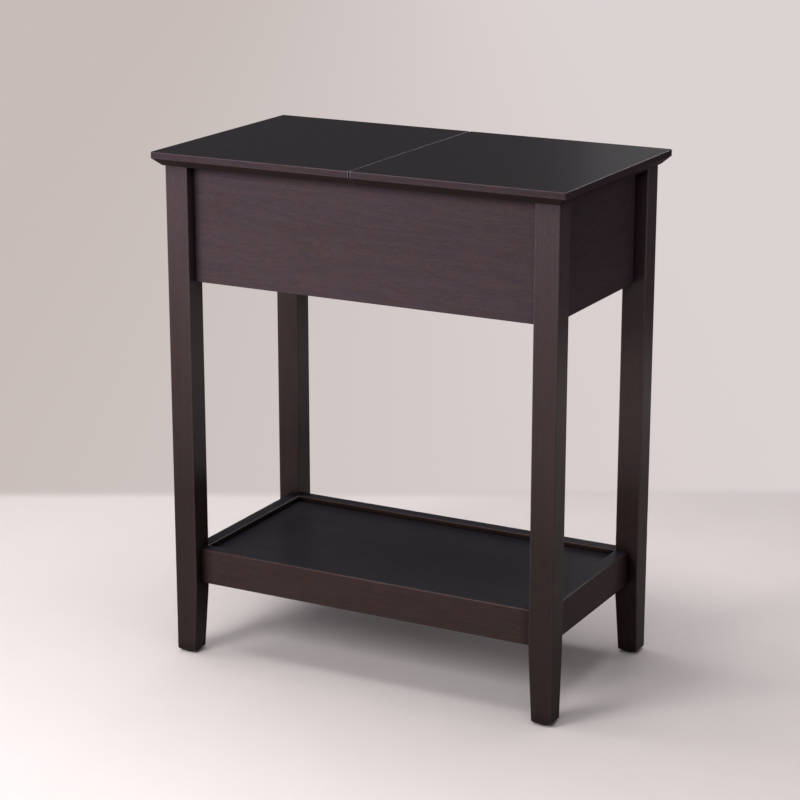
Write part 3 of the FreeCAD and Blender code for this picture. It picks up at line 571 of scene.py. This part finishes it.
class ENDTABLE_OT_screws(Operator):
    """Make the pan-head screws under the fixed half of the top"""
    bl_idname = "endtable.screws"
    bl_label = "Screws"

    def execute(self, context):
        fittings = context.scene.endtable_fittings
        low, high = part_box("top_screws")
        seat = low.z + fittings.head_height
        rings = screw_rings(fittings, high.z - seat)
        across = np.linspace(low.x + fittings.head_radius, high.x - fittings.head_radius, 3)
        sides = (low.y + fittings.head_radius, high.y - fittings.head_radius)
        places = [(x, y, seat) for y in sides for x in across]
        zinc = machined_metal("Zinc plated steel, bright", fittings.zinc_colour, roughness=0.3,
                              mark=0.9 * MM, depth=0.02 * MM)
        screws = new_piece("top_screws_threaded", copies(rings, places), "frame", zinc)
        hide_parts("top_screws")
        return {"FINISHED"}


def screw_rings(fittings, length):
    """Rings of a pan-head screw, its seat at height 0 and its head below. The head's height over the
    radius r is -h * sqrt(1 - (r/R)^4), and inside the cross it is raised by the recess depth. The shank's
    radius is the root radius plus the thread depth times a triangle wave of height/pitch minus angle/turn,
    which grows over the first turn. The tip is a cone."""
    around, head_rings, rings_per_turn, tip_rings = 48, 18, 6, 6
    near_pole = 0.04  # radians from the head's middle to its first ring
    tip_taper = 0.97  # share of the root radius that the tip loses
    angle = np.linspace(0, 2 * math.pi, around, endpoint=False)
    radius = fittings.head_radius * np.sin(np.linspace(near_pole, math.pi / 2, head_rings))
    across = radius[:, None] * np.cos(angle)
    up = radius[:, None] * np.sin(angle)
    dome = -fittings.head_height * np.sqrt(np.clip(1 - (radius / fittings.head_radius) ** 4, 0, 1))
    near, far = np.minimum(abs(across), abs(up)), np.maximum(abs(across), abs(up))
    soft = 0.1 * MM
    arm = np.clip((fittings.recess_width / 2 + soft - near) / (2 * soft), 0, 1)
    arm = arm * np.clip((fittings.recess_reach + soft - far) / (2 * soft), 0, 1)
    head = np.stack([across, up, dome[:, None] + arm * fittings.recess_depth], -1)
    root = fittings.shank_radius - fittings.thread_depth
    height = np.arange(0, length - fittings.tip_length, fittings.thread_pitch / rings_per_turn)
    wave = abs(2 * ((height[:, None] / fittings.thread_pitch - angle / (2 * math.pi)) % 1) - 1)
    fade = np.clip(height / fittings.thread_pitch, 0, 1)[:, None]
    shank = root + fittings.thread_depth * wave * fade
    threaded = np.stack([shank * np.cos(angle), shank * np.sin(angle),
                         np.repeat(height[:, None], around, 1)], -1)
    tip_height = np.linspace(length - fittings.tip_length, length, tip_rings)
    tip_radius = root * (1 - (tip_height - tip_height[0]) / fittings.tip_length * tip_taper)
    tip = turned(np.stack([tip_radius, tip_height], -1), around)
    return np.concatenate([head, threaded, tip])


class ENDTABLE_OT_bumpers(Operator):
    """Make the soft pads that the shut lid rests on"""
    bl_idname = "endtable.bumpers"
    bl_label = "Lid pads"

    def execute(self, context):
        fittings = context.scene.endtable_fittings
        low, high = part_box("lid_bumpers")
        rail_low, rail_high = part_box("centre_rail")
        seam = (rail_low.x + rail_high.x) / 2 + fittings.bumper_seam_inset
        end = rail_high.y - fittings.bumper_end_inset
        corner = high.x - fittings.bumper_radius
        side = high.y - fittings.bumper_radius
        places = [(seam, -end, low.z), (seam, end, low.z), (corner, -side, low.z), (corner, side, low.z)]
        silicone = moulded_plastic("Silicone, moulded clear", fittings.silicone_colour, roughness=0.35,
                                   ior=1.41, clear=0.6)
        rings = bumper_rings(fittings)
        pads = new_piece("lid_bumpers_domed", copies(rings, places), "frame", silicone)
        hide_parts("lid_bumpers")
        return {"FINISHED"}


def bumper_rings(fittings):
    """Rings of a domed pad: a flat base, then a wall whose radius is R * (1 - t^4)^(1/4) at the share t
    of the height, so that it rises upright and rounds over into a nearly flat crown."""
    around, wall_rings = 40, 14
    base_shares, crown_shares = np.linspace(0.1, 0.95, 4), np.array([0.2, 0.05])
    turn = np.linspace(0, math.pi / 2, wall_rings)[:-1]
    radius = np.concatenate([base_shares, np.sqrt(np.cos(turn)), crown_shares])
    height = np.concatenate([0 * base_shares, np.sqrt(np.sin(turn)), np.ones_like(crown_shares)])
    profile = np.stack([fittings.bumper_radius * radius, fittings.bumper_height * height], -1)
    return turned(profile, around)


class ENDTABLE_OT_glides(Operator):
    """Make the nail-on glides under the feet"""
    bl_idname = "endtable.glides"
    bl_label = "Foot glides"

    def execute(self, context):
        fittings = context.scene.endtable_fittings
        low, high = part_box("foot_glides")
        along = high.x - fittings.glide_radius
        across = high.y - fittings.glide_radius
        places = [(sx * along, sy * across, low.z) for sx in (-1, 1) for sy in (-1, 1)]
        plastic = moulded_plastic("Polyethylene, moulded brown", fittings.glide_colour, roughness=0.45,
                                  ior=1.51, clear=0.0)
        rings = glide_rings(fittings, high.z)
        glides = new_piece("foot_glides_rounded", copies(rings, places), "frame", plastic)
        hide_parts("foot_glides")
        return {"FINISHED"}


def glide_rings(fittings, nail_top):
    """Rings of a glide with its nail: the rim's radius is R * (1 - f * s^4) at the share s from the middle
    of its height, which rounds the disc's foot and shoulder by the share f, and the nail is a straight
    wall with a point."""
    around, rim_rings, foot_rings = 48, 13, 5
    rim_fall, point_share = 0.12, 0.04
    share = np.linspace(-1, 1, rim_rings)
    rim = np.stack([fittings.glide_radius * (1 - rim_fall * share ** 4),
                    fittings.glide_height * (share + 1) / 2], -1)
    foot = np.stack([fittings.glide_radius * np.linspace(0.05, 0.8, foot_rings), np.zeros(foot_rings)], -1)
    shoulder = [[fittings.glide_radius / 2, fittings.glide_height],
                [fittings.nail_radius, fittings.glide_height]]
    nail = [[fittings.nail_radius, nail_top - fittings.nail_tip],
            [point_share * fittings.nail_radius, nail_top]]
    return turned(np.concatenate([foot, rim, shoulder, nail]), around)


# ---- studio

CAMERA_PLACE = (1.2694, -2.4105, 1.0930)
CAMERA_TURN = (74.04, 0.0, 28.06)
LAMPS = (
    # name, place, aim, size (metres), power (watts), colour
    ("key_softbox", (-0.5, -1.25, 0.98), (0.0, 0.0, 0.45), 0.6, 12.8, "#ffffff"),
    ("overhead_softbox", (0.0, 0.0, 2.2), (0.0, 0.0, 0.35), 1.6, 25.0, "#ffffff"),
    ("left_overhead_softbox", (-1.2, 0.0, 2.0), (0.0, 0.0, 0.35), 1.2, 10.0, "#ffffff"),
    ("left_fill", (-2.2, -0.3, 1.2), (0.0, 0.0, 0.35), 1.2, 3.0, "#e8ecff"),
    ("front_fill", (0.3, -2.5, 1.5), (0.0, 0.0, 0.35), 1.2, 6.0, "#ffffff"),
    ("camera_fill", (1.2, -2.2, 1.7), (0.0, 0.0, 0.35), 1.0, 4.5, "#ffffff"),
    ("back_softbox", (0.75, 2.35, 1.6), (0.0, 0.0, 0.5), 0.8, 19.0, "#eef2ff"),
    ("right_fill", (2.4, 0.0, 1.0), (0.0, 0.0, 0.35), 0.4, 3.3, "#eef2ff"),
    ("rear_fill", (-0.3, 2.6, 1.2), (0.0, 0.0, 0.35), 1.2, 9.5, "#ffffff"),
)
# The lacquer only mirrors this lamp: it draws the edges, and leaves the shadow on the floor alone.
RIM_LAMP = "back_softbox"
FLOOR_REACH = 30.0  # metres from the middle of the floor to its edge
FLOOR_CLOUD = 0.09  # metres across a cloud in the floor's paint
FLOOR_GAINS = (0.97, 1.02)  # darkest and lightest of those clouds
# Metres, from the middle of the floor: outwards, to the side as the camera sees it, and away from it.
BACKDROP_EDGE = 0.03  # over which the floor turns into the backdrop, each way
BACKDROP_REACH = (0.9, 1.8)  # outwards, where the floor begins to turn and where it has turned
BACKDROP_SIDES = (-0.9, 0.7)  # to the side, where the backdrop has its left and its right tone
ROOM_REACH = (1.2, 2.0)  # outwards, where the mirrored room begins to dim and where it is dimmed
ROOM_DEPTH = (0.0, 0.4)  # away, where the dimming begins and where it is full
ROOM_DIMMED = 0.88  # share of its brightness that the floor behind the table loses where the lacquer mirrors it: a painted dim reflection
CEILING_RISE = (0.2, 0.5)  # upward part of a direction where the room begins to darken, and where it is dark
CEILING_GAIN = 0.15  # share of the room's tone that is left overhead


def studio_floor(studio):
    """Matt painted studio board. The eye gets a plain pale floor with a faint cloudiness, which turns into
    the backdrop's tone behind the table and far out. The backdrop's tone is painted darker on the left and
    lighter on the right, as painted light."""
    material, tree, output = new_material("Painted studio board, matt")
    place = add_node(tree, "ShaderNodeTexCoord").outputs["Object"]
    heading = math.radians(CAMERA_TURN[2])
    away = (-math.sin(heading), math.cos(heading), 0.0)
    right = (math.cos(heading), math.sin(heading), 0.0)
    depth, side = [
        add_node(tree, "ShaderNodeVectorMath", {0: place, 1: way}, operation="DOT_PRODUCT").outputs["Value"]
        for way in (away, right)]
    reach = add_node(tree, "ShaderNodeVectorMath", {0: place}, operation="LENGTH").outputs["Value"]
    behind = add_node(tree, "ShaderNodeMapRange", {
        "Value": depth, "From Min": studio.backdrop_start - BACKDROP_EDGE,
        "From Max": studio.backdrop_start + BACKDROP_EDGE}, interpolation_type="SMOOTHSTEP")
    beyond = add_node(tree, "ShaderNodeMapRange", {
        "Value": reach, "From Min": BACKDROP_REACH[0], "From Max": BACKDROP_REACH[1]},
        interpolation_type="SMOOTHSTEP")
    far = add_node(tree, "ShaderNodeMath", {0: behind.outputs[0], 1: beyond.outputs[0]},
                   operation="MAXIMUM").outputs[0]
    across = add_node(tree, "ShaderNodeMapRange", {
        "Value": side, "From Min": BACKDROP_SIDES[0], "From Max": BACKDROP_SIDES[1]},
        interpolation_type="SMOOTHSTEP")
    backdrop = add_node(tree, "ShaderNodeMix", {
        0: across.outputs[0], 6: rgba(studio.backdrop_left), 7: rgba(studio.backdrop_right)},
        data_type="RGBA").outputs[2]
    cloud = pattern(tree, place, FLOOR_CLOUD, FLOOR_CLOUD, X, Detail=4.0)
    darkest, lightest = [rgba(studio.floor_colour, gain) for gain in FLOOR_GAINS]
    floor = add_node(tree, "ShaderNodeMix", {0: cloud, 6: darkest, 7: lightest}, data_type="RGBA")
    colour = add_node(tree, "ShaderNodeMix", {0: far, 6: floor.outputs[2], 7: backdrop}, data_type="RGBA")
    shown = seen_ray(tree)
    bounce = add_node(tree, "ShaderNodeMix", {
        0: shown, 6: rgba(studio.bounce_colour), 7: colour.outputs[2]}, data_type="RGBA")
    lit = add_node(tree, "ShaderNodeBsdfDiffuse", {"Color": bounce.outputs[2]})
    # Painted reflection: where the lacquer mirrors the floor behind the table and far out, the floor is
    # painted dimmer, standing in for a dim room.
    past = add_node(tree, "ShaderNodeMapRange", {
        "Value": depth, "From Min": ROOM_DEPTH[0], "From Max": ROOM_DEPTH[1], "To Min": 0.0,
        "To Max": ROOM_DIMMED})
    dim = add_node(tree, "ShaderNodeMapRange", {
        "Value": reach, "From Min": ROOM_REACH[0], "From Max": ROOM_REACH[1], "To Min": 0.0,
        "To Max": past.outputs[0]}, interpolation_type="SMOOTHSTEP")
    glossy = add_node(tree, "ShaderNodeLightPath").outputs["Is Glossy Ray"]
    loss = add_node(tree, "ShaderNodeMath", {0: dim.outputs[0], 1: glossy}, operation="MULTIPLY")
    strength = add_node(tree, "ShaderNodeMath", {0: 1.0, 1: loss.outputs[0]}, operation="SUBTRACT")
    even = add_node(tree, "ShaderNodeEmission", {"Color": backdrop, "Strength": strength.outputs[0]})
    share = add_node(tree, "ShaderNodeMath", {0: shown, 1: far}, operation="MULTIPLY")
    both = add_node(tree, "ShaderNodeMixShader", {
        0: share.outputs[0], 1: lit.outputs[0], 2: even.outputs[0]})
    tree.links.new(both.outputs[0], output.inputs[0])
    return material


def seen_ray(tree):
    """1 for a ray from the camera or one seen in a shiny or clear surface, and 0 for the rays that light."""
    ray = add_node(tree, "ShaderNodeLightPath").outputs
    mirrored = add_node(tree, "ShaderNodeMath", {0: ray["Is Camera Ray"], 1: ray["Is Glossy Ray"]},
                        operation="MAXIMUM")
    return add_node(tree, "ShaderNodeMath", {0: mirrored.outputs[0], 1: ray["Is Transmission Ray"]},
                    operation="MAXIMUM").outputs[0]


class ENDTABLE_OT_studio(Operator):
    """Set the floor, the backdrop, the lamps and the camera"""
    bl_idname = "endtable.studio"
    bl_label = "Studio"

    def execute(self, context):
        scene = context.scene
        studio = scene.endtable_studio
        corners = [(x * FLOOR_REACH, y * FLOOR_REACH, 0) for x, y in ((-1, -1), (1, -1), (1, 1), (-1, 1))]
        mesh = bpy.data.meshes.new("studio_floor")
        mesh.from_pydata(corners, [], [(0, 1, 2, 3)])
        mesh.materials.append(studio_floor(studio))
        floor = bpy.data.objects.new("studio_floor", mesh)
        scene.collection.objects.link(floor)
        light_room(scene, studio)
        for name, place, aim, size, power, colour in LAMPS:
            lamp = bpy.data.lights.new(name, "AREA")
            lamp.shape, lamp.size, lamp.energy, lamp.color = "SQUARE", size, power, linear(colour)
            holder = bpy.data.objects.new(name, lamp)
            holder.location = place
            holder.visible_camera = False
            holder.visible_diffuse = name != RIM_LAMP
            holder.rotation_euler = (Vector(aim) - Vector(place)).to_track_quat("-Z", "Y").to_euler()
            scene.collection.objects.link(holder)
        camera = bpy.data.cameras.new("camera")
        camera.lens, camera.sensor_width, camera.clip_end = studio.focal_length, 36.0, 100.0
        viewer = bpy.data.objects.new("camera", camera)
        viewer.location = CAMERA_PLACE
        viewer.rotation_euler = [math.radians(v) for v in CAMERA_TURN]
        scene.collection.objects.link(viewer)
        scene.camera = viewer
        scene.view_settings.view_transform = "Standard"
        return {"FINISHED"}


def light_room(scene, studio):
    """A world that lights the table evenly and shows the backdrop's tone, darker overhead."""
    world = bpy.data.worlds.new("studio_room")
    scene.world = world
    world.use_nodes = True
    tree = world.node_tree
    tree.nodes.clear()
    tone = [(a + b) / 2 for a, b in zip(studio.backdrop_left, studio.backdrop_right)]
    heading = add_node(tree, "ShaderNodeTexCoord").outputs["Generated"]
    rise = add_node(tree, "ShaderNodeSeparateXYZ", {0: heading}).outputs[2]
    upwards = add_node(tree, "ShaderNodeMapRange", {
        "Value": rise, "From Min": CEILING_RISE[0], "From Max": CEILING_RISE[1]},
        interpolation_type="SMOOTHSTEP")
    room = add_node(tree, "ShaderNodeMix", {
        0: upwards.outputs[0], 6: rgba(tone), 7: rgba(tone, CEILING_GAIN)}, data_type="RGBA")
    light = add_node(tree, "ShaderNodeBackground", {"Color": [1.0] * 4, "Strength": studio.room_light})
    shown = add_node(tree, "ShaderNodeBackground", {"Color": room.outputs[2], "Strength": 1.0})
    both = add_node(tree, "ShaderNodeMixShader", {
        0: seen_ray(tree), 1: light.outputs[0], 2: shown.outputs[0]})
    output = add_node(tree, "ShaderNodeOutputWorld")
    tree.links.new(both.outputs[0], output.inputs[0])


# ---- sidebar and registration

OPERATORS = (
    ENDTABLE_OT_legs, ENDTABLE_OT_aprons, ENDTABLE_OT_rails, ENDTABLE_OT_top_boards, ENDTABLE_OT_panels,
    ENDTABLE_OT_battens, ENDTABLE_OT_hinges, ENDTABLE_OT_screws, ENDTABLE_OT_bumpers, ENDTABLE_OT_glides,
    ENDTABLE_OT_studio,
)
SETTINGS = {"endtable_finish": EspressoFinish, "endtable_fittings": Fittings, "endtable_studio": Studio}


class ENDTABLE_PT_sidebar(Panel):
    """Lists the table's pieces and their settings"""
    bl_idname = "ENDTABLE_PT_sidebar"
    bl_label = "Lift top end table"
    bl_space_type = "VIEW_3D"
    bl_region_type = "UI"
    bl_category = "End table"

    def draw(self, context):
        for operator in OPERATORS:
            self.layout.operator(operator.bl_idname)
        for name, group in SETTINGS.items():
            box = self.layout.box()
            box.label(text=group.__doc__)
            for setting in group.__annotations__:
                box.prop(getattr(context.scene, name), setting)


def register():
    for group in SETTINGS.values():
        bpy.utils.register_class(group)
    for cls in (*OPERATORS, ENDTABLE_PT_sidebar):
        bpy.utils.register_class(cls)
    for name, group in SETTINGS.items():
        setattr(Scene, name, PointerProperty(type=group))


def unregister():
    for name in SETTINGS:
        delattr(Scene, name)
    for cls in (ENDTABLE_PT_sidebar, *reversed(OPERATORS)):
        bpy.utils.unregister_class(cls)
    for group in reversed(list(SETTINGS.values())):
        bpy.utils.unregister_class(group)


def main():
    """Makes every piece in order."""
    register()
    bpy.ops.endtable.legs()
    bpy.ops.endtable.aprons()
    bpy.ops.endtable.rails()
    bpy.ops.endtable.top_boards()
    bpy.ops.endtable.panels()
    bpy.ops.endtable.battens()
    bpy.ops.endtable.hinges()
    bpy.ops.endtable.screws()
    bpy.ops.endtable.bumpers()
    bpy.ops.endtable.glides()
    bpy.ops.endtable.studio()


if __name__ == "__main__":
    main()
